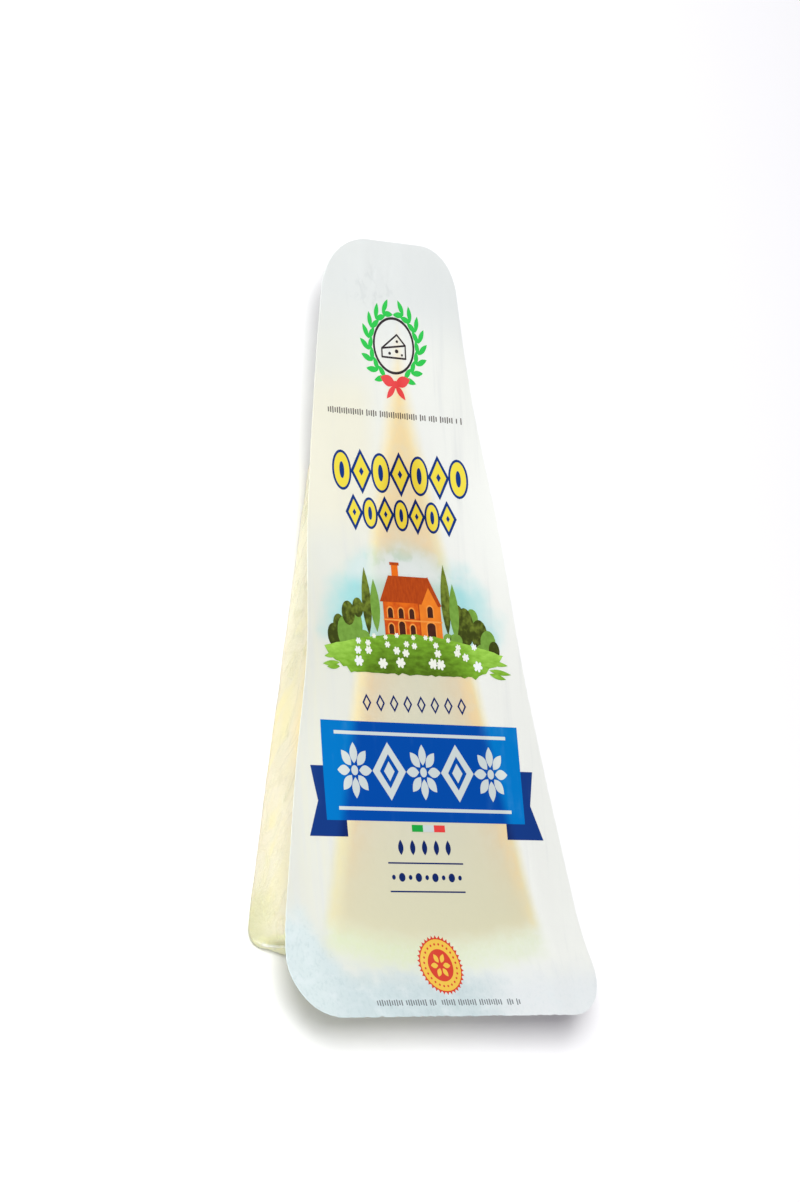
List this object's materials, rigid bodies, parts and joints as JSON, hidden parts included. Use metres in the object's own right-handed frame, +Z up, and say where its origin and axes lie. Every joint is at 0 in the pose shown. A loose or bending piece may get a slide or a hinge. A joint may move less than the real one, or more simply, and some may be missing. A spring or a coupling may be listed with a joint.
{
  "type": "pecorino romano wedge in a retail vacuum pack",
  "caption": "Wedge of hard sheep's milk cheese, vacuum packed in clear formed film under a printed milky lid film with a wide sealed flange.",
  "frame": {"origin": "on the floor under the middle of the pack: the middle of its outline along X and Y, and its flat back face along Z", "axes": "+Z up out of the lid, +Y from the wide rind end towards the wedge's tip, +X to the right as the lid is looked at"},
  "size_m": [0.111, 0.2046, 0.039],
  "materials": {
    "cheese": "pale cream cheese, dense and slightly waxy, seen through film",
    "formed_film": "clear crinkled film, glossy",
    "lid_film": "milky translucent film, satin, finely creased",
    "print": "flat printing ink under the lid film's face, satin"
  },
  "bodies": {
    "root": {"wedge_in_formed_film": "cheese", "lid_film": "lid_film"}
  },
  "joints": []
}
